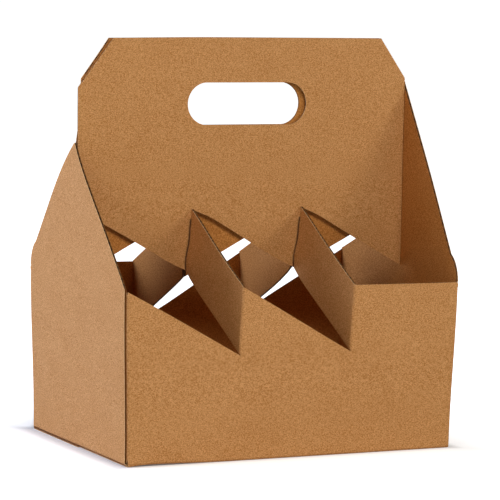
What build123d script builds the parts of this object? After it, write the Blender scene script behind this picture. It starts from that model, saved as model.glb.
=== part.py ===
"""Six-bottle carrier: one die-cut sheet of corrugated board, creased, folded and glued.

The blank is a strip of four panels (front wall, right end, rear wall, left gable) with a glue flap.
Above each long wall stands a centre layer with half of the handle, shifted sideways by the length of
a divider strap. Straight sloping slits leave parallelogram straps between wall and layer, so pulling
the layers to the middle swings the straps square to the walls and divides the carrier into cells.
The rear layer is also hinged to the right end panel, whose rear half guides it as a strap does. The
front layer lies against the rear one, and its two ends are raw edges.

X runs along the front wall, Y from front to rear, Z up. The origin is the middle of the base.
"""

from build123d import *
import math
import os

# Board
board = 1.6
fold_radius = 1.2
seam = 0.4

# Body
width = 258.0
depth = 174.0
wall_height = 118.0
cells_per_row = 3

# Slits and straps
slit_drop = 46.0
layer_gap = 1.2

# Centre layers and hand hole
handle_top = 282.0
free_corner = (25.0, 34.0)
hinged_corner = (22.0, 30.0)
far_corner = (20.0, 28.0)
corner_softness = 3.0
hole_length = 92.0
hole_height = 29.5
hole_centre_height = 236.0
hole_shift = 2.0

# End panels
left_peak = 210.0
foot_run = 11.5
foot_rise = 17.0
peak_softness = 2.0

# Flaps
glue_flap_width = 32.0
glue_flap_taper = 8.0
end_flap_length = 72.0
end_flap_taper = 9.0
bottom_seam = 1.0

# Places that follow from the sizes above
half_width = width / 2
half_depth = depth / 2
pitch = width / cells_per_row
slope = slit_drop / pitch
layer_front = -layer_gap / 2 - board
layer_back = -layer_gap / 2
strap_lift = slope * (half_depth + layer_front)
inner_end = half_width - board
far_edge = inner_end - seam
hinge_top = handle_top - hinged_corner[1]
slit_start = wall_height - slope * board / 2
folds = [(i - cells_per_row / 2) * pitch - board / 2 for i in range(1, cells_per_row)]


def wall_outline(left_end):
    """Long wall seen from outside: each slit drops to a fold, then the fold stands to full height."""
    points = [(half_width, 0), (half_width, wall_height)]
    for fold in reversed(folds):
        points += [(fold, wall_height), (fold, wall_height - slit_drop)]
    points += [(left_end, wall_height - slit_drop + slope * (folds[0] - left_end)), (left_end, 0)]
    return points


def layer_outline(left_end, left_corner):
    """Centre layer seen from its own side, its lower edge cut by the same slits as the wall."""
    hinge_foot = wall_height - slit_drop + strap_lift
    points = [(far_edge - far_corner[0], handle_top), (far_edge, handle_top - far_corner[1])]
    points += [(far_edge, hinge_foot + slope * (folds[-1] + pitch - far_edge))]
    for fold in reversed(folds):
        hinge = fold + board
        points += [(hinge, hinge_foot + slope * (pitch - board)), (hinge, hinge_foot - slope * board)]
    points += [(left_end, hinge_foot + slope * (folds[0] - left_end))]
    points += [(left_end, handle_top - left_corner[1]), (left_end + left_corner[0], handle_top)]
    return points


def end_slope(peak, side):
    """Draws the upper edge of half an end panel, in (Y, Z), and returns where it starts.

    It rises from the corner fold over a rounded foot, then runs straight to the peak.
    side is -1 for the front half and 1 for the rear half.
    """
    corner = (side * (half_depth - fold_radius), wall_height)
    kink = (side * (half_depth - foot_run), wall_height + foot_rise)
    TangentArc(corner, kink, tangent=(0, 1))
    Line(kink, peak)
    return corner


def upright_edges(part, x, y):
    """Vertical edges of a part that stand at one place in plan."""
    return part.edges().filter_by(Axis.Z).filter_by(
        lambda edge: math.hypot(edge.center().X - x, edge.center().Y - y) < board / 8
    )


def long_side(wall_end, layer_end, layer_corner):
    """Front wall with its straps, centre layer and bottom flap. Turned half round, the rear one."""
    with BuildPart() as side:
        # Wall
        with BuildSketch(Plane.XZ.offset(half_depth)):
            with BuildLine():
                Polyline(*wall_outline(wall_end), close=True)
            make_face()
        extrude(amount=-board)

        # Straps, square to the wall, rising from it to the centre layer
        back_lift = slope * (half_depth + layer_back)
        for fold in folds:
            with BuildSketch(Plane.YZ.offset(fold)):
                with BuildLine():
                    Polyline(
                        (-half_depth, wall_height - slit_drop),
                        (-half_depth, wall_height),
                        (layer_back, wall_height + back_lift),
                        (layer_back, wall_height - slit_drop + back_lift),
                        close=True,
                    )
                make_face()
            extrude(amount=board)

        # Centre layer with its hand hole
        with BuildSketch(Plane.XZ.offset(-layer_front)):
            with BuildLine():
                Polyline(*layer_outline(layer_end, layer_corner), close=True)
            layer = make_face()
            fillet(layer.vertices().group_by(Axis.Y)[-1], radius=corner_softness)
            with Locations((hole_shift, hole_centre_height)):
                SlotOverall(hole_length, hole_height, mode=Mode.SUBTRACT)
        extrude(amount=-board)

        # Bottom flap, reaching the middle of the base
        with BuildSketch(Plane.XY):
            with Locations((0, -half_depth)):
                flap_size = (2 * inner_end - 2 * seam, half_depth - bottom_seam / 2)
                Rectangle(*flap_size, align=(Align.CENTER, Align.MIN))
        extrude(amount=board)

        # Rounded folds
        for fold in folds:
            fillet(upright_edges(side, fold, -half_depth), radius=fold_radius)
            fillet(upright_edges(side, fold + board, layer_back), radius=fold_radius)
    return side.part


front_side = long_side(-inner_end, -far_edge, free_corner)
rear_side = long_side(-half_width, -half_width, hinged_corner).rotate(Axis.Z, 180)

with BuildPart() as carrier:
    # Front wall and the glue flap folded back from its left edge
    add(front_side)
    with BuildSketch(Plane.YZ.offset(-inner_end)):
        with BuildLine():
            Polyline(
                (-half_depth, 2 * board),
                (-half_depth, slit_start - board),
                (-half_depth + glue_flap_width, slit_start - board - glue_flap_taper),
                (-half_depth + glue_flap_width, 2 * board + glue_flap_taper),
                close=True,
            )
        make_face()
    extrude(amount=board)
    fillet(upright_edges(carrier, -inner_end, -half_depth), radius=fold_radius)

    # Rear wall and its half of the middle
    add(rear_side)

    # Right end panel: its front half rises to the rear layer's hinge, its rear half is slit free of it
    hinge_y = -layer_front
    with BuildSketch(Plane.YZ.offset(inner_end)):
        with BuildLine():
            right_foot = end_slope((hinge_y, hinge_top), -1)
            Polyline(
                (hinge_y, hinge_top),
                (hinge_y, slit_start + slope * (half_depth - hinge_y)),
                (half_depth, slit_start),
                (half_depth, board),
                (-half_depth, board),
                (-half_depth, wall_height),
                right_foot,
            )
        make_face()
    extrude(amount=board)

    # Left gable, the last panel of the strip, its raw front edge beside the front wall's fold
    with BuildSketch(Plane.YZ.offset(-half_width)):
        with BuildLine():
            rear_foot = end_slope((0, left_peak), 1)
            Polyline(
                rear_foot,
                (half_depth, wall_height),
                (half_depth, board),
                (-half_depth + seam, board),
                (-half_depth + seam, wall_height),
                (0, left_peak),
            )
        gable = make_face()
        fillet(gable.vertices().sort_by(Axis.Y)[-1], radius=peak_softness)
    extrude(amount=board)

    # End flaps, folded in under the cells and glued on the long flaps
    with BuildSketch(Plane.XY.offset(board)):
        with PolarLocations(half_width - end_flap_length / 2 - board / 2, 2):
            Trapezoid(
                depth - 2 * board - 2 * seam,
                end_flap_length + board,
                math.degrees(math.atan(end_flap_length / end_flap_taper)),
                rotation=90,
            )
    extrude(amount=board)

    # Rounded folds at the corners, at the rear layer's hinge and round the base
    corners = [(half_width, -half_depth), (half_width, half_depth), (-half_width, half_depth)]
    for x, y in corners + [(half_width, hinge_y)]:
        fillet(upright_edges(carrier, x, y), radius=fold_radius)
    base_folds = carrier.edges().filter_by(Axis.X).group_by(Axis.Z)[0].filter_by(
        lambda edge: abs(edge.center().Y) > half_depth - board / 2
    )
    fillet(base_folds, radius=fold_radius)

carrier.part.label = "carrier"
os.makedirs("parts", exist_ok=True)
export_step(carrier.part, "parts/carrier.step")
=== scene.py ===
"""Six-bottle carrier folded from one sheet of brown kraft corrugated board.

The board is modelled as it is made: two thin liners with a fluted paper between them. Each panel is
cut flat from a grid, stood up in its place and joined to its neighbours at the folds. The joined
sheet gives both liners their shape. At the end the whole board is relaxed a little out of square,
as folded card is.
"""

import math

import bpy
import numpy as np
from mathutils import Matrix, Vector


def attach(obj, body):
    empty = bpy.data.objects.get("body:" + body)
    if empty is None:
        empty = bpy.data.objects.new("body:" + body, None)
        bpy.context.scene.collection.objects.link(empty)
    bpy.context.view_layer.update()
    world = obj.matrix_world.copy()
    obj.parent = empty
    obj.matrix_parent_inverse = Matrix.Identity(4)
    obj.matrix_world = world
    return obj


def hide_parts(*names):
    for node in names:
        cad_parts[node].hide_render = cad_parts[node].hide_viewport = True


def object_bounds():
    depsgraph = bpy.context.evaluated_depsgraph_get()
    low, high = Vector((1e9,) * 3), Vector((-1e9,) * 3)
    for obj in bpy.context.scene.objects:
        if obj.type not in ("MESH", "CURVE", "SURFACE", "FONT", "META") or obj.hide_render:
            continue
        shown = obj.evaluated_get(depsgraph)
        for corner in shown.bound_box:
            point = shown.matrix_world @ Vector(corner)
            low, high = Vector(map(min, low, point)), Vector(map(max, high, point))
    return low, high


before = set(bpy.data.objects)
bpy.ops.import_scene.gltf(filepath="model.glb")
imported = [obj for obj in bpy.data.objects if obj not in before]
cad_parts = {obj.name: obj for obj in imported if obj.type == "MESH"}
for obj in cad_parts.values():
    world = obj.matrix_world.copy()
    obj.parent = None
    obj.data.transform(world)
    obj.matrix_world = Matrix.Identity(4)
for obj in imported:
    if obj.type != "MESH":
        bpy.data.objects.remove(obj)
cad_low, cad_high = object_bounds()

MM = 0.001

# Board
BOARD = 1.6 * MM
LINER = 0.28 * MM
MEDIUM = 0.16 * MM
FLUTE_PITCH = 3.5 * MM
FLUTE_STEPS = 6

# The folded body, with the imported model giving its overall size
HALF_WIDTH = cad_high.x
HALF_DEPTH = cad_high.y
HANDLE_TOP = cad_high.z
WALL_TOP = 118 * MM
SLIT_DROP = 46 * MM
LAYER_GAP = 1.2 * MM
SEAM = 0.4 * MM
GABLE_GAP = 1.2 * MM
PITCH = 2 * HALF_WIDTH / 3
SLOPE = SLIT_DROP / PITCH
SLIT_FOOT = WALL_TOP - SLIT_DROP
STRAP_LIFT = SLOPE * (HALF_DEPTH - LAYER_GAP / 2 - BOARD)

# Places of the board's middle surface in each panel
WALL_AT = HALF_DEPTH - BOARD / 2
END_AT = HALF_WIDTH - BOARD / 2
INNER_AT = END_AT - BOARD
LAYER_AT = (LAYER_GAP + BOARD) / 2
STRAP_AT = PITCH / 2
LONG_FLAP_AT = BOARD / 2
END_FLAP_AT = 1.5 * BOARD
FAR_EDGE = INNER_AT + BOARD / 2 - SEAM

# Centre layers and hand hole
FREE_CORNER = (25 * MM, 34 * MM)
HINGED_CORNER = (22 * MM, 30 * MM)
FAR_CORNER = (20 * MM, 28 * MM)
HOLE_LENGTH = 92 * MM
HOLE_HEIGHT = 29.5 * MM
HOLE_AT = (2 * MM, 236 * MM)

# End panels
LEFT_PEAK = 210 * MM
HINGE_TOP = HANDLE_TOP - HINGED_CORNER[1]
FOOT_RUN = 11.5 * MM
FOOT_RISE = 17 * MM

# Flaps
GLUE_FLAP_WIDTH = 32 * MM
GLUE_FLAP_TAPER = 8 * MM
END_FLAP_LENGTH = 72 * MM
END_FLAP_TAPER = 9 * MM

# Folds, and how far the fluted paper stops short of a raw edge
FOLD_RADIUS = 1.1 * MM
SHARP_FOLD = math.radians(60)
RAW_SETBACK = 2 * MM

# Mesh
COLUMN = 9 * MM
ROW = 6 * MM
FOOT_FACETS = 6
HOLE_FACETS = 66
MERGE = 0.25 * MM

# Heights at which the sheet has a row of points, so that neighbouring panels meet point on point
LEVELS = [
    END_FLAP_AT,
    SLIT_FOOT + SLOPE * BOARD / 2,
    SLIT_FOOT + STRAP_LIFT,
    WALL_TOP,
    WALL_TOP + FOOT_RISE,
    WALL_TOP + STRAP_LIFT,
    HINGE_TOP - BOARD / 2,
]


def deselect():
    bpy.ops.object.select_all(action="DESELECT")


def activate(*pieces):
    """Selects these pieces alone and makes the first one active."""
    deselect()
    for piece in pieces:
        piece.select_set(True)
    bpy.context.view_layer.objects.active = pieces[0]


def join(pieces, name):
    activate(*pieces)
    bpy.ops.object.join()
    pieces[0].name = pieces[0].data.name = name
    return pieces[0]


def apply_modifiers(piece):
    activate(piece)
    for modifier in list(piece.modifiers):
        bpy.ops.object.modifier_apply(modifier=modifier.name)


class Panel:
    """One flat panel of the sheet: where it stands, its extent, the lines that trim it and its folds.

    facing is "front" for a panel along X and "side" for one along Y.
    cuts are lines (start, end) in the panel's own plane; what lies left of a line is cut away.
    folds names the ends, "low" and "high", at which the panel is folded, raw those that are cut open.
    """

    def __init__(self, facing, at, low, high, floor, top, cuts=(), folds=(), raw=()):
        self.facing, self.at, self.low, self.high = facing, at, low, high
        self.floor, self.top, self.cuts, self.folds, self.raw = floor, top, cuts, folds, raw

    def narrowed(self):
        """The ends between which the fluted paper runs: it stops short of folds and of raw edges."""
        gaps = [
            FOLD_RADIUS if name in self.folds else RAW_SETBACK if name in self.raw else 0.0
            for name in ("low", "high")
        ]
        return self.low + gaps[0], self.high - gaps[1]


def slit(point, z, low, high):
    """The line of a slit through (point, z), between two places along a panel, falling as it goes."""
    return (low, z + SLOPE * (point - low)), (high, z + SLOPE * (point - high))


def upside_down(line):
    """The same line traced the other way, so that it trims what lies below it."""
    return line[1], line[0]


def foot_cuts(side):
    """Tangents round the foot of an end panel, which stands upright at its fold and leans in above."""
    start = HALF_DEPTH - FOLD_RADIUS
    run, rise = FOOT_RUN - FOLD_RADIUS, FOOT_RISE
    half_turn = math.atan2(run, rise)
    radius = math.hypot(run, rise) / 2 / math.sin(half_turn)
    cuts = []
    for step in range(FOOT_FACETS):
        turn = 2 * half_turn * (step + 0.5) / FOOT_FACETS
        touch = Vector((start - radius * (1 - math.cos(turn)), WALL_TOP + radius * math.sin(turn)))
        along = Vector((-math.sin(turn), math.cos(turn))) * BOARD
        line = tuple(touch - along), tuple(touch + along)
        cuts.append(upside_down(line) if side > 0 else tuple((-u, z) for u, z in line))
    return cuts


def end_half(at, peak, side):
    """The foot and the long slope of half an end panel, which part where the edge has its kink."""
    kink = side * (HALF_DEPTH - FOOT_RUN), WALL_TOP + FOOT_RISE
    slope = (peak, kink) if side > 0 else (kink, peak)
    corner_fold = ("high",) if side > 0 else ("low",)
    foot_ends = sorted((kink[0], side * WALL_AT))
    main_ends = sorted((kink[0], peak[0]))
    return [
        Panel("side", at, *foot_ends, END_FLAP_AT, kink[1] + BOARD, foot_cuts(side), corner_fold),
        Panel("side", at, *main_ends, END_FLAP_AT, peak[1], [slope]),
    ]


def wall_panels(end):
    """The long wall: each slit drops to a fold, then the wall stands to its full height."""
    ends = [end, -STRAP_AT, STRAP_AT]
    both = ("low", "high")
    panels = []
    for low, high in zip(ends, ends[1:]):
        edge = slit(high - BOARD / 2, SLIT_FOOT, low, high)
        panels.append(Panel("front", -WALL_AT, low, high, LONG_FLAP_AT, WALL_TOP, [edge], both))
    panels.append(Panel("front", -WALL_AT, STRAP_AT, END_AT, LONG_FLAP_AT, WALL_TOP, (), both))
    return panels


def strap_panels():
    """The straps between wall and centre layer, with parallel rising edges."""
    lower = (-HALF_DEPTH, SLIT_FOOT), (0.0, SLIT_FOOT + SLOPE * HALF_DEPTH)
    upper = tuple((u, z + SLIT_DROP) for u, z in lower)
    cuts = [upside_down(lower), upper]
    top = WALL_TOP + 2 * SLIT_DROP
    return [
        Panel("side", at, -WALL_AT, -LAYER_AT, SLIT_FOOT, top, cuts, ("low", "high"))
        for at in (-STRAP_AT, STRAP_AT)
    ]


def layer_panels(end, end_corner, hinged):
    """The centre layer between its hinges, its lower edge cut by the wall's slits."""
    ends = [end, -STRAP_AT, STRAP_AT, FAR_EDGE]
    far_corner = (FAR_EDGE - FAR_CORNER[0], HANDLE_TOP), (FAR_EDGE, HANDLE_TOP - FAR_CORNER[1])
    corners = [[end_corner], [], [far_corner]]
    folds = [("low", "high") if hinged else ("high",), ("low", "high"), ("low",)]
    raw = [() if hinged else ("low",), (), ("high",)]
    foot = SLIT_FOOT + STRAP_LIFT
    panels = []
    for number in range(3):
        low, high = ends[number:number + 2]
        slit_end = -STRAP_AT - BOARD / 2 + number * PITCH
        cuts = [upside_down(slit(slit_end, foot, low, high))] + corners[number]
        panels.append(Panel("front", -LAYER_AT, low, high, foot - BOARD, HANDLE_TOP, cuts,
                            folds[number], raw[number]))
    return panels


def end_panels():
    """The right end panel, the left gable and the glue flap."""
    slit_top = WALL_TOP - SLOPE * BOARD / 2
    rear_slit = (0.0, slit_top + SLOPE * HALF_DEPTH), (HALF_DEPTH, slit_top)
    panels = end_half(END_AT, (LAYER_AT, HINGE_TOP), -1)
    panels.append(Panel("side", END_AT, LAYER_AT, WALL_AT, END_FLAP_AT, HINGE_TOP, [rear_slit],
                        folds=("high",)))
    panels += end_half(-END_AT, (0.0, LEFT_PEAK), 1)
    raw_edge = -HALF_DEPTH + GABLE_GAP
    gable_slope = (raw_edge, WALL_TOP), (0.0, LEFT_PEAK)
    panels.append(Panel("side", -END_AT, raw_edge, 0.0, END_FLAP_AT, LEFT_PEAK, [gable_slope],
                        raw=("low",)))
    edge = -WALL_AT + GLUE_FLAP_WIDTH
    top, bottom = slit_top - BOARD, 2 * BOARD
    panels.append(Panel("side", -INNER_AT, -WALL_AT, edge, bottom, top, [
        ((-WALL_AT, top), (edge, top - GLUE_FLAP_TAPER)),
        ((edge, bottom + GLUE_FLAP_TAPER), (-WALL_AT, bottom)),
    ], folds=("low",)))
    return panels


# How a panel that was cut flat is turned upright, and the direction in which it is then moved
TURNS = {
    "front": Matrix.Rotation(math.pi / 2, 4, "X"),
    "side": Matrix.Rotation(math.pi / 2, 4, "Z") @ Matrix.Rotation(math.pi / 2, 4, "X"),
}
OFFSETS = {
    "front": Vector((0, 1, 0)),
    "side": Vector((1, 0, 0)),
}


def cut_flat(panel, low, high, column, row):
    """Cuts a panel flat from a grid, between two places along it.

    The grid's rows stand at whole multiples of row, so neighbouring panels have theirs at one height.
    """
    first = math.floor(panel.floor / row) * row
    last = math.ceil(panel.top / row) * row
    columns = max(1, round((high - low) / column))
    rows = max(1, round((last - first) / row))
    deselect()
    bpy.ops.mesh.primitive_grid_add(x_subdivisions=columns, y_subdivisions=rows, size=1)
    piece = bpy.context.object
    piece.scale = (high - low, last - first, 1)
    piece.location = ((low + high) / 2, (first + last) / 2, 0)
    bpy.ops.object.transform_apply(location=True, rotation=True, scale=True)
    bpy.ops.object.mode_set(mode="EDIT")
    level_cuts = [((low, panel.top), (high, panel.top)), ((high, panel.floor), (low, panel.floor))]
    for start, end in level_cuts + list(panel.cuts):
        along = (Vector(end) - Vector(start)).normalized()
        bpy.ops.mesh.select_all(action="SELECT")
        bpy.ops.mesh.bisect(plane_co=(*start, 0), plane_no=(-along.y, along.x, 0), clear_outer=True)
    bpy.ops.object.mode_set(mode="OBJECT")
    return piece


def stand_up(piece, panel, half_turn):
    """Moves a flat panel to its place, and for the rear half turns it round the carrier's axis."""
    place = Matrix.Translation(OFFSETS[panel.facing] * panel.at) @ TURNS[panel.facing]
    if half_turn:
        place = Matrix.Rotation(math.pi, 4, "Z") @ place
    piece.data.transform(place)
    return piece


def corner_cut(edge, corner):
    """The cut across a centre layer's upper corner at its low end, from its edge up to its top."""
    return (edge, HANDLE_TOP - corner[1]), (edge + corner[0], HANDLE_TOP)


def all_panels():
    """Every standing panel of the carrier, and whether it belongs to the turned rear half."""
    front = wall_panels(-INNER_AT) + strap_panels()
    front += layer_panels(-FAR_EDGE, corner_cut(-FAR_EDGE, FREE_CORNER), False)
    rear = wall_panels(-END_AT) + strap_panels()
    rear += layer_panels(-END_AT, corner_cut(-HALF_WIDTH, HINGED_CORNER), True)
    yield from ((panel, False) for panel in front)
    yield from ((panel, True) for panel in rear)
    yield from ((panel, False) for panel in end_panels())


def select_points(piece, test):
    """In edit mode, selects the points that pass the test, with the edges and faces between them."""
    bpy.ops.mesh.select_mode(type="VERT")
    bpy.ops.mesh.select_all(action="DESELECT")
    bpy.ops.object.mode_set(mode="OBJECT")
    for point in piece.data.vertices:
        point.select = test(point.co)
    bpy.ops.object.mode_set(mode="EDIT")


def fold_in_flaps(piece):
    """The four base flaps, extruded inwards from the bottom edges of the walls and end panels."""
    near = 0.3 * MM
    narrowing = 1 - (END_FLAP_TAPER + BOARD) / HALF_DEPTH
    for way in (-1, 1):
        def under_wall(spot):
            return abs(spot.z - LONG_FLAP_AT) < near and abs(spot.y - way * WALL_AT) < near
        select_points(piece, under_wall)
        inwards = (0, -way * (WALL_AT - SEAM), 0)
        bpy.ops.mesh.extrude_region_move(TRANSFORM_OT_translate={"value": inwards})

        def under_end(spot):
            return abs(spot.z - END_FLAP_AT) < near and abs(spot.x - way * END_AT) < near
        select_points(piece, under_end)
        inwards = (-way * END_FLAP_LENGTH, 0, 0)
        bpy.ops.mesh.extrude_region_move(TRANSFORM_OT_translate={"value": inwards})
        bpy.ops.transform.resize(value=(1, narrowing, 1), center_override=(0, 0, 0))


def mark_crease_shade(piece):
    """Marks the folds at which the straps hang on the centre layers, for the dark line of painted
    shade in each.
    """
    # The value set here says where the kraft paint draws a dark line of painted shade into the hinge's
    # fold.
    crease_shade = piece.data.attributes.new("crease_shade", "FLOAT", "POINT")
    clear_of_slit = 3 * MM
    reach = 1.05 * FOLD_RADIUS
    top = WALL_TOP + SLOPE * HALF_DEPTH - clear_of_slit
    for number, point in enumerate(piece.data.vertices):
        spot = point.co
        away = math.hypot(abs(spot.x) - STRAP_AT, abs(spot.y) - LAYER_AT)
        hinged = away < reach and top - SLIT_DROP < spot.z < top
        crease_shade.data[number].value = 1.0 if hinged else 0.0


def middle_sheet():
    """The board's middle surface, all panels merged at their folds and the folds rounded."""
    pieces = [
        stand_up(cut_flat(panel, panel.low, panel.high, COLUMN, ROW), panel, turned)
        for panel, turned in all_panels()
    ]
    sheet = join(pieces, "middle_sheet")
    bpy.ops.object.mode_set(mode="EDIT")
    for level in LEVELS:
        bpy.ops.mesh.select_all(action="SELECT")
        bpy.ops.mesh.bisect(plane_co=(0, 0, level), plane_no=(0, 0, 1))
    bpy.ops.mesh.select_all(action="SELECT")
    bpy.ops.mesh.remove_doubles(threshold=MERGE)
    bpy.ops.mesh.normals_make_consistent(inside=False)
    fold_in_flaps(sheet)
    bpy.ops.mesh.select_all(action="SELECT")
    bpy.ops.mesh.normals_make_consistent(inside=False)
    bpy.ops.mesh.select_all(action="DESELECT")
    bpy.ops.mesh.select_mode(type="EDGE")
    bpy.ops.mesh.edges_select_sharp(sharpness=SHARP_FOLD)
    bpy.ops.mesh.bevel(offset=FOLD_RADIUS, offset_type="OFFSET", segments=4, affect="EDGES")
    bpy.ops.object.mode_set(mode="OBJECT")
    mark_crease_shade(sheet)
    return sheet


def thicken(piece, thickness, faces, rims):
    """Gives a sheet of paper its thickness, and its cut edges their own material."""
    piece.data.materials.clear()
    piece.data.materials.append(faces)
    piece.data.materials.append(rims)
    paper = piece.modifiers.new("paper", "SOLIDIFY")
    paper.thickness = thickness
    paper.offset = 0
    paper.material_offset_rim = 1
    apply_modifiers(piece)


def liner(sheet, name, way, faces, rims):
    """One of the board's two faces: the middle surface moved out to it and given a thickness."""
    piece = sheet.copy()
    piece.data = sheet.data.copy()
    piece.name = piece.data.name = name
    bpy.context.collection.objects.link(piece)
    activate(piece)
    bpy.ops.object.mode_set(mode="EDIT")
    bpy.ops.mesh.select_all(action="SELECT")
    bpy.ops.transform.shrink_fatten(value=way * (BOARD - LINER) / 2, use_even_offset=True)
    bpy.ops.object.mode_set(mode="OBJECT")
    thicken(piece, LINER, faces, rims)
    return piece


def read_spots(piece):
    """The places of a mesh's points, one row for each."""
    spots = np.empty(len(piece.data.vertices) * 3)
    piece.data.vertices.foreach_get("co", spots)
    return spots.reshape(-1, 3)


def write_spots(piece, spots):
    piece.data.vertices.foreach_set("co", spots.ravel())
    piece.data.update()


def waves(piece, panel):
    """Presses the flutes into a flat panel, crushed beside its folds."""
    height = (BOARD - MEDIUM) / 2 - LINER
    crushed_to, recovery = 0.25, 2 * FLUTE_PITCH
    spots = read_spots(piece)
    along = spots[:, 0]
    crush = np.ones(len(spots))
    for name, edge in (("low", panel.low), ("high", panel.high)):
        if name in panel.folds:
            crush *= np.clip(abs(along - edge) / recovery, crushed_to, 1)
    spots[:, 2] = height * crush * np.sin(2 * math.pi * along / FLUTE_PITCH)
    write_spots(piece, spots)
    return piece


def fluted_medium(faces, rims):
    """The fluted paper inside every standing panel."""
    pieces = []
    for panel, turned in all_panels():
        piece = cut_flat(panel, *panel.narrowed(), FLUTE_PITCH / FLUTE_STEPS, 4 * ROW)
        pieces.append(stand_up(waves(piece, panel), panel, turned))
    fluting = join(pieces, "fluting")
    cut_holes(fluting)
    thicken(fluting, MEDIUM, faces, rims)
    return fluting


def hole_cutter(half_turn):
    """A bar the shape of the hand hole, standing through one centre layer and short of the other."""
    deselect()
    bpy.ops.mesh.primitive_cylinder_add(
        vertices=HOLE_FACETS, radius=HOLE_HEIGHT / 2, depth=1.95 * LAYER_AT)
    bar = bpy.context.object
    bar.rotation_euler.x = math.pi / 2
    bar.location = (HOLE_AT[0], -LAYER_AT, HOLE_AT[1])
    bpy.ops.object.transform_apply(location=True, rotation=True, scale=True)
    bpy.ops.object.mode_set(mode="EDIT")
    stretch = (HOLE_LENGTH - HOLE_HEIGHT) / 2
    for way in (-1, 1):
        select_points(bar, lambda point: way * (point.x - HOLE_AT[0]) > 0)
        bpy.ops.transform.translate(value=(way * stretch, 0, 0))
    bpy.ops.object.mode_set(mode="OBJECT")
    if half_turn:
        bar.data.transform(Matrix.Rotation(math.pi, 4, "Z"))
    return bar


def cut_holes(piece):
    """Cuts the hand hole through the sheet of each centre layer, while the sheet has no thickness.

    The bar's outline is cut into the sheet, then the bar and all that lies inside it are deleted.
    """
    margin = 0.02 * MM
    for half_turn in (False, True):
        way = -1 if half_turn else 1
        bar = hole_cutter(half_turn)
        first = len(piece.data.polygons)
        join([piece, bar], piece.name)
        bpy.ops.object.mode_set(mode="EDIT")
        bpy.ops.mesh.select_mode(type="FACE")
        bpy.ops.mesh.select_all(action="DESELECT")
        bpy.ops.object.mode_set(mode="OBJECT")
        for face in piece.data.polygons[first:]:
            face.select = True
        bpy.ops.object.mode_set(mode="EDIT")
        bpy.ops.mesh.intersect(mode="SELECT_UNSELECT", separate_mode="CUT", solver="FAST")

        def inside(point):
            run = max(abs(way * point.x - HOLE_AT[0]) - (HOLE_LENGTH - HOLE_HEIGHT) / 2, 0)
            near = math.hypot(run, point.z - HOLE_AT[1]) < HOLE_HEIGHT / 2 + margin
            return near and 0 < -way * point.y < 2.2 * LAYER_AT
        select_points(piece, inside)
        bpy.ops.mesh.delete(type="FACE")
        bpy.ops.object.mode_set(mode="OBJECT")


# The settled card is described in mm. Above REAR_FROM, a place belongs to the rear half of the
# carrier: its wall, its straps or its centre layer.
WIDE, DEEP = HALF_WIDTH / MM, HALF_DEPTH / MM
STRAP_X, LAYER_Y = STRAP_AT / MM, LAYER_AT / MM
REAR_FROM = 0.3

# How far each standing corner has moved, along X and Y, at the floor and at the wall's top
CORNER_MOVES = {
    (-1, -1): ((5.5, 1.0), (2.7, 0.0)),
    (1, -1): ((-4.8, 1.0), (-1.8, 0.0)),
    (-1, 1): ((7.0, -7.0), (4.5, -3.5)),
    (1, 1): ((-4.0, -4.0), (-2.3, -3.0)),
}


def between(value, stops):
    """A smooth curve through (place, amount) stops, level at each of them and outside them."""
    result = np.full(value.shape, float(stops[0][1]))
    for (start, low), (end, high) in zip(stops, stops[1:]):
        share = np.clip((value - start) / (end - start), 0, 1)
        result += (high - low) * share * share * (3 - 2 * share)
    return result


def nearness(y):
    """How near a place is to the front wall, to the rear wall and to the centre, each from 0 to 1."""
    return np.clip(-y / DEEP, 0, 1), np.clip(y / DEEP, 0, 1), 1 - np.clip(abs(y) / DEEP, 0, 1)


def corners_drawn_in(x, y, z):
    """The corners stand inside the true square, most at the floor."""
    moved = np.zeros((3, len(x)))
    for (side, end), (low, high) in CORNER_MOVES.items():
        near = (1 + side * x / WIDE) / 2 * (1 + end * y / DEEP) / 2
        for axis in (0, 1):
            moved[axis] += near * between(z, [(0, low[axis]), (118, high[axis]), (205, 0)])
    return moved


def folds_drifted(x, y, z):
    """The straps' folds lean: right on the front wall, left on the rear wall, right on the layers."""
    front, rear, centre = nearness(y)
    within = (1 - (x / WIDE) ** 2) / (1 - (STRAP_X / WIDE) ** 2)
    drift = front * between(z, [(0, 0), (72, 1.35), (118, 3.0)])
    drift -= rear * between(z, [(0, 0), (72, 3.0), (118, 3.0)]) * (1 - x / 160)
    drift += centre * between(z, [(50, 0), (100, -1.8), (117, -1.8), (163, 3.2), (235, 0)])
    return within * drift, 0, 0


def handle_end_stepped(x, y, z):
    """At the handle's left end the rear layer stands further in than the front one."""
    on_layer = nearness(y)[2] ** 8
    at_left = between(-x, [(20, 0), (127, 1)])
    sideways = between(z, [(163, 0), (205, 1.6), (250, 1.2), (282, 1.8)])
    sideways += (y > REAR_FROM) * between(z, [(205, 0), (235, 4.2)])
    return at_left * on_layer * sideways, 0, -0.9 * at_left * between(z, [(205, 0), (282, 1)])


def walls_slack(x, y, z):
    """Slack in the long walls, with the front wall's bottom edge a little off the floor on the left.

    Towards the right the rear wall rises and the front wall sags.
    """
    front, rear, centre = nearness(y)
    rise = rear ** 2 * between(x, [(-20, -0.4), (60, 4.6), (100, 5.0)])
    rise *= between(z, [(40, 0), (90, 1), (118, 1), (163, 0)])
    sag = front ** 2 * between(x, [(-130, -1), (129, 1.6)])
    sag *= between(z, [(40, 0), (118, 1), (140, 0)])
    foot = front ** 6 * between(x, [(-129, 0.0), (-112, 1.2), (-50, 0)])
    foot *= between(z, [(0, 1), (40, 0)])
    return 0, 0, rise - sag + foot


def rear_strap_dropped(x, y, z):
    """The rear half's left strap hangs lower, most where it meets the centre layer."""
    centre = nearness(y)[2]
    by_strap = between(x, [(-62, 0), (-43, 1), (-24, 0)]) * (y > REAR_FROM)
    by_strap *= between(z, [(40, 0), (72, 1), (163, 1), (200, 0)])
    return 0, 0, -by_strap * (0.2 + 2.8 * centre)


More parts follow.
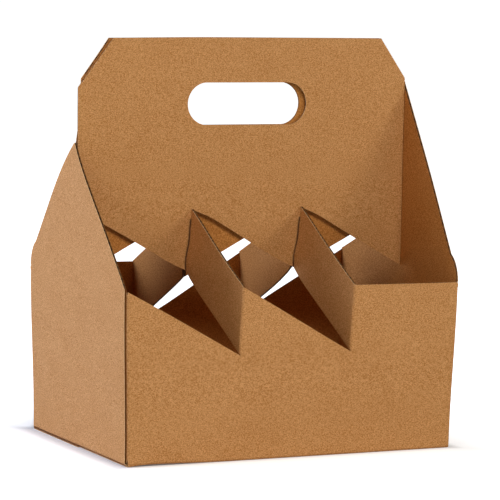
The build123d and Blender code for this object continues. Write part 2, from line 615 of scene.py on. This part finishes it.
def layers_lifted(x, y, z):
    """The centre layers' lower edges are pulled up, the tips of their teeth less than the rest."""
    on_layer = nearness(y)[2] ** 8
    rear_lift = between(x, [(-60, -0.3), (40, 1.6)])
    lift = np.where(y < REAR_FROM, 2.0, rear_lift)
    lift *= between(z, [(60, 0), (105, 1), (165, 1), (210, 0)])
    tips = np.exp(-((abs(x) - STRAP_X) / 9) ** 2)
    tips *= between(z, [(60, 0), (112, 1.8), (122, 1.8), (150, -2.4), (166, -2.4), (195, 0)])
    return 0, 0, on_layer * (lift + tips)


def right_end_pushed_out(x, y, z):
    """The end of the centre layers presses the right end panel outwards."""
    push = 1.8 * between(x, [(40, 0), (129, 1)]) * nearness(y)[2] ** 4
    return push * between(z, [(60, 0), (100, 1), (118, 1), (205, 0)]), 0, 0


def hinges_wrinkled(x, y, z):
    """The straps' hinges on the centre layers, wrinkled by pulling the straps square."""
    near = np.exp(-((abs(x) - STRAP_X) ** 2 + (abs(y) - LAYER_Y) ** 2) / 6)
    swing = between(z, [(112, 0), (125, 0.5), (158, 0.5), (166, 0)])
    return near * swing * np.sin(z / 4.2), 0, 0


SETTLING = (
    corners_drawn_in,
    folds_drifted,
    handle_end_stepped,
    walls_slack,
    rear_strap_dropped,
    layers_lifted,
    right_end_pushed_out,
    hinges_wrinkled,
)


def relax(piece):
    """Lets the folded card settle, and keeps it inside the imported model's box."""
    spots = read_spots(piece)
    x, y, z = spots.T / MM
    moved = np.zeros((3, len(spots)))
    for settle in SETTLING:
        for axis, distance in enumerate(settle(x, y, z)):
            moved[axis] += distance
    spots += moved.T * MM
    write_spots(piece, np.clip(spots, np.array(cad_low), np.array(cad_high)))


class Value:
    """A socket of a node tree that takes part in arithmetic."""

    def __init__(self, tree, socket):
        self.tree = tree
        self.socket = socket

    def node(self, kind, settings, *inputs, out=0):
        """Adds a node: its kind, its settings, and a value or a link for each input that is given."""
        made = self.tree.nodes.new(kind)
        for name, setting in settings.items():
            setattr(made, name, setting)
        for name, given in inputs:
            if isinstance(given, Value):
                self.tree.links.new(given.socket, made.inputs[name])
            else:
                made.inputs[name].default_value = given
        return Value(self.tree, made.outputs[out])

    def maths(self, operation, *others):
        return self.node("ShaderNodeMath", {"operation": operation}, *enumerate((self, *others)))

    def __add__(self, other):
        return self.maths("ADD", other)

    def __sub__(self, other):
        return self.maths("SUBTRACT", other)

    def __mul__(self, other):
        return self.maths("MULTIPLY", other)

    def __pow__(self, other):
        return self.maths("POWER", other)

    __radd__, __rmul__ = __add__, __mul__

    def clamped(self, low, high):
        return self.node("ShaderNodeClamp", {}, ("Value", self), ("Min", low), ("Max", high))

    def stretched(self, scale):
        return self.node("ShaderNodeVectorMath", {"operation": "MULTIPLY"}, (0, self), (1, scale))

    def noise(self, scale, detail, roughness=0.5):
        settings = {"noise_dimensions": "3D"}
        inputs = ("Vector", self), ("Scale", scale), ("Detail", detail), ("Roughness", roughness)
        return self.node("ShaderNodeTexNoise", settings, *inputs)

    def mixed(self, colour_a, colour_b):
        """Colour a where this value is 0, colour b where it is 1."""
        settings = {"data_type": "RGBA"}
        return self.node("ShaderNodeMix", settings, (0, self), (6, colour_a), (7, colour_b), out=2)


def linear(red, green, blue):
    """A colour given as seen on screen, 0 to 255, as the shader's own colour."""
    def one(level):
        level /= 255
        return level / 12.92 if level <= 0.04045 else ((level + 0.055) / 1.055) ** 2.4
    return one(red), one(green), one(blue), 1.0


def new_material(name):
    material = bpy.data.materials.new(name)
    material.use_nodes = True
    tree = material.node_tree
    shader = tree.nodes["Principled BSDF"]
    return material, tree, shader


# The paper's grain: the scale of each noise, and how far it moves the tone between dark and light
CLOUDS, CLOUDS_SHOW = 40, 0.5
MOTTLE, MOTTLE_SHOWS = 850, 3.8
GRAIN, GRAIN_SHOWS = 2100, 5.4
FLECKS, FLECKS_FROM = 700, 0.70
# Painted shade: the colour and sharpness of the dark line drawn into each strap hinge's fold.
CREASE_SHADE_COLOUR, CREASE_SHADE_SHARPNESS = (60, 32, 12), 14.0
ROUGHNESS = 0.85
SHEEN = 0.25
RELIEF, RELIEF_HEIGHT = 0.25, 0.15 * MM


def kraft(name, fleck, dark, light):
    """Uncoated brown paper between dark and light, cloudy and grained, with small flecks, and a dark
    line of painted shade at the marked strap hinges.
    """
    material, tree, shader = new_material(name)
    start = Value(tree, None)
    spot = start.node("ShaderNodeTexCoord", {}, out="Object")
    fibres = spot.stretched((1.0, 1.0, 1.4))
    clouds = fibres.noise(CLOUDS, 3, 0.6)
    mottle = fibres.noise(MOTTLE, 3, 0.65)
    grain = fibres.noise(GRAIN, 2, 0.6)
    tone = (clouds - 0.5) * CLOUDS_SHOW + (mottle - 0.5) * MOTTLE_SHOWS
    tone = (tone + (grain - 0.5) * GRAIN_SHOWS + 0.5).clamped(0.0, 1.0)
    base = tone.mixed(linear(*dark), linear(*light))
    flecks = ((fibres.noise(FLECKS, 1) - FLECKS_FROM) * 14.0).clamped(0.0, 0.55)
    base = flecks.mixed(base, linear(*fleck))
    # Painted shade: a dark line along each marked strap hinge, where the fold lies in shade.
    crease_shade = start.node("ShaderNodeAttribute", {"attribute_name": "crease_shade"}, out="Fac")
    line = (crease_shade ** CREASE_SHADE_SHARPNESS * (0.5 + clouds * 0.8)).clamped(0.0, 0.9)
    base = line.mixed(base, linear(*CREASE_SHADE_COLOUR))
    relief = ("Strength", RELIEF), ("Distance", RELIEF_HEIGHT), ("Height", mottle * 0.5 + grain * 0.5)
    bump = start.node("ShaderNodeBump", {}, *relief)
    tree.links.new(base.socket, shader.inputs["Base Color"])
    tree.links.new(bump.socket, shader.inputs["Normal"])
    shader.inputs["Roughness"].default_value = ROUGHNESS
    shader.inputs["Specular IOR Level"].default_value = SHEEN
    return material


# The photograph's viewpoint: slightly above, from the front and to the left
EYE = (-0.9147, -1.8634, 0.3526)
YAW, PITCH_DOWN, ROLL = math.radians(26.337), math.radians(6.032), math.radians(1.323)
LENS = 214.2


def camera():
    """A long lens at the photograph's viewpoint, turned by yaw, then down, then by roll."""
    ahead = math.cos(PITCH_DOWN)
    forward = Vector((math.sin(YAW) * ahead, math.cos(YAW) * ahead, -math.sin(PITCH_DOWN)))
    level = Vector((math.cos(YAW), -math.sin(YAW), 0))
    over = level.cross(forward)
    right = math.cos(ROLL) * level + math.sin(ROLL) * over
    up = -math.sin(ROLL) * level + math.cos(ROLL) * over
    data = bpy.data.cameras.new("camera")
    data.sensor_width = 36
    data.lens = LENS
    data.clip_end = 50
    eye = bpy.data.objects.new("camera", data)
    turn = Matrix((right, up, -forward)).transposed().to_4x4()
    eye.matrix_world = Matrix.Translation(EYE) @ turn
    bpy.context.collection.objects.link(eye)
    bpy.context.scene.camera = eye


# Studio
AIM = (0, 0, 0.12)
WHITE = (1, 1, 1, 1)
FLOOR_PAINT = (0.85, 0.85, 0.85, 1)
FILL = 0.05


def lamp(name, place, size, strength, colour):
    """A square soft box at a place, turned to the middle of the carrier."""
    data = bpy.data.lights.new(name, "AREA")
    data.shape = "SQUARE"
    data.size = size
    data.energy = strength
    data.color = colour
    box = bpy.data.objects.new(name, data)
    box.location = place
    box.rotation_euler = (Vector(AIM) - Vector(place)).to_track_quat("-Z", "Y").to_euler()
    bpy.context.collection.objects.link(box)


def white_floor():
    """A white floor that glows for the camera, less so close to the carrier, where its shadow lies."""
    deselect()
    bpy.ops.mesh.primitive_plane_add(size=60)
    floor = bpy.context.object
    floor.name = "floor"
    material, tree, shader = new_material("floor_white")
    start = Value(tree, None)
    shader.inputs["Base Color"].default_value = FLOOR_PAINT
    shader.inputs["Roughness"].default_value = 0.9
    seen = start.node("ShaderNodeLightPath", {}, out="Is Camera Ray")
    spot = start.node("ShaderNodeTexCoord", {}, out="Object")
    x, y = (
        spot.node("ShaderNodeSeparateXYZ", {}, (0, spot), out=axis).maths("ABSOLUTE")
        for axis in (0, 1)
    )
    away = (x - HALF_WIDTH).maths("MAXIMUM", y - HALF_DEPTH)
    close_by = (away * 40.0 + 0.25).clamped(0.1, 0.45)
    further_out = (away * 8.0).clamped(0.0, 0.55)
    glow = seen * (close_by + further_out)
    tree.links.new(glow.socket, shader.inputs["Emission Strength"])
    shader.inputs["Emission Color"].default_value = WHITE
    floor.data.materials.append(material)


def white_surround():
    """White where the camera sees it, and only a faint fill light on the carrier."""
    world = bpy.data.worlds.new("surround")
    bpy.context.scene.world = world
    world.use_nodes = True
    tree = world.node_tree
    seen = Value(tree, None).node("ShaderNodeLightPath", {}, out="Is Camera Ray")
    strength = seen * (1.0 - FILL) + FILL
    background = tree.nodes["Background"]
    tree.links.new(strength.socket, background.inputs["Strength"])
    background.inputs["Color"].default_value = WHITE


def studio():
    """Soft boxes from the left, the front, the front left and the right, over white."""
    white_floor()
    white_surround()
    lamp("left_box", (-1.9, 0.75, 0.7), 1.0, 27, (0.86, 1.05, 1.56))
    lamp("front_box", (-0.3, -2.8, 3.3), 1.8, 86, (1.0, 0.99, 0.97))
    lamp("side_box", (-2.6, -1.5, 1.3), 1.2, 14, (1.0, 0.94, 0.82))
    lamp("right_box", (2.6, -2.2, 1.3), 1.2, 29, (1.0, 0.99, 0.96))


def board_pieces():
    """The two liners and the fluting, each with one paper for its faces and one for its cut edges."""
    paper = kraft("kraft_paper", (150, 96, 46), (172, 113, 54), (215, 159, 101))
    # The inside liner is a darker, redder copy of the outer paper: painted shade for the carrier's
    # interior, with the redder tone of light bounced between its faces.
    inside = kraft("kraft_inside_shaded", (140, 84, 32), (162, 98, 35), (206, 139, 70))
    # Painted shade: the inside liner's cut edges are drawn dark.
    inside_cut_shade = kraft("kraft_inside_cut_shade", (92, 58, 30), (92, 58, 30), (140, 96, 56))
    # The outer liner's cut edges are lighter: the paper's own pale cut fibre, with a painted highlight
    # on top.
    paper_cut_highlight = kraft("kraft_paper_cut_highlight", (206, 158, 106), (214, 168, 114), (244, 204, 150))
    # The fluting is drawn far darker than its own greyer tone: painted shade for the hollows of the
    # flutes.
    medium_with_flute_shade = kraft("kraft_medium_flute_shade", (48, 26, 12), (44, 22, 10), (66, 38, 20))
    medium_cut = kraft("kraft_medium_cut", (100, 64, 36), (80, 48, 26), (120, 80, 48))
    sheet = middle_sheet()
    cut_holes(sheet)
    pieces = [
        liner(sheet, "outer_liner", 1, paper, paper_cut_highlight),
        liner(sheet, "inner_liner", -1, inside, inside_cut_shade),
        fluted_medium(medium_with_flute_shade, medium_cut),
    ]
    bpy.data.objects.remove(sheet)
    return pieces


def smooth(piece):
    """Smooth shading over the rounded folds, with each flat panel's own normals kept."""
    activate(piece)
    bpy.ops.object.shade_smooth_by_angle(angle=math.radians(40))
    crisp = piece.modifiers.new("crisp_folds", "WEIGHTED_NORMAL")
    crisp.keep_sharp = True
    apply_modifiers(piece)


for piece in board_pieces():
    relax(piece)
    smooth(piece)
    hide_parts("carrier")
    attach(piece, "root")
camera()
studio()
bpy.context.scene.view_settings.view_transform = "Standard"
